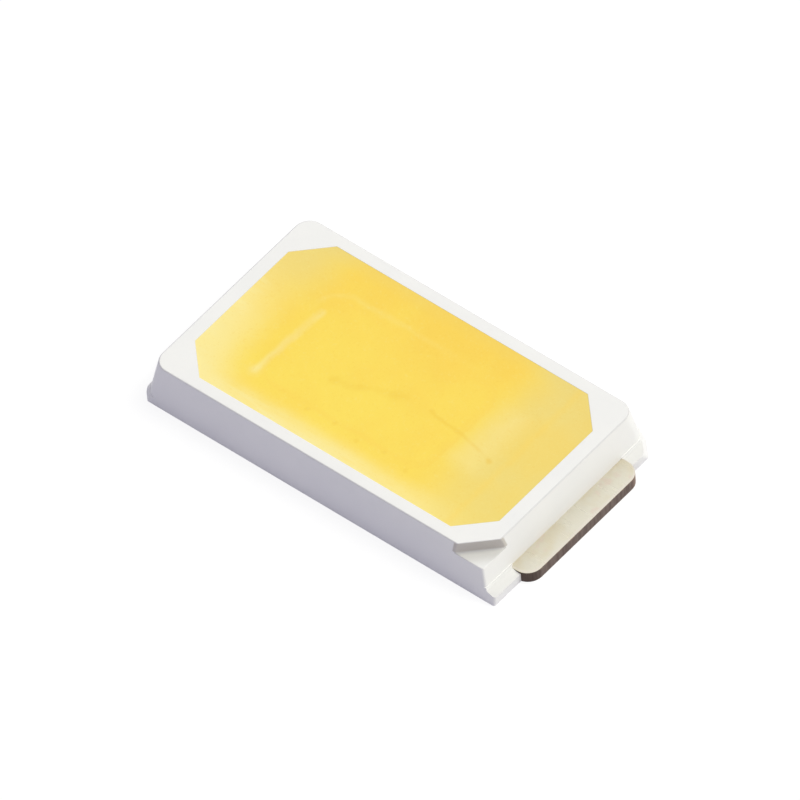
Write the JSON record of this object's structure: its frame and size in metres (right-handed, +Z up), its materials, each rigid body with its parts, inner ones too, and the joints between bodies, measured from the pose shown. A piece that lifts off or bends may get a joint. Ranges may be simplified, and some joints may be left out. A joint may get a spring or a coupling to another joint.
{
  "type": "surface mount led",
  "caption": "Flat white surface-mount light-emitting diode with a yellow phosphor window, a polarity corner and two solder leads.",
  "frame": {"origin": "middle of the underside, in the plane of the solder pads", "axes": "+X along the package towards the short lead and the polarity corner, +Y across the package, +Z up through the light-emitting face"},
  "size_m": [0.0056, 0.003, 0.0006],
  "materials": {
    "white_resin": "moulded white resin, fine satin",
    "silver_lead": "silver-plated copper sheet, satin, with bare copper on the cut edges",
    "phosphor_silicone": "clear silicone filled with yellow phosphor powder, smooth and slightly glossy",
    "sapphire_chip": "clear sapphire with scribed edges",
    "die_glue": "clear silicone glue",
    "contact_gold": "bright gold film",
    "gold_wire": "drawn gold wire"
  },
  "bodies": {
    "root": {"housing": "white_resin", "anode_lead": "silver_lead", "cathode_lead": "silver_lead", "phosphor_fill": "phosphor_silicone", "chip_1": "sapphire_chip", "chip_2": "sapphire_chip", "die_attach_1": "die_glue", "die_attach_2": "die_glue", "p_contact_1": "contact_gold", "n_contact_1": "contact_gold", "p_contact_2": "contact_gold", "n_contact_2": "contact_gold", "wire_anode": "gold_wire", "wire_series": "gold_wire", "wire_cathode": "gold_wire"}
  },
  "joints": []
}
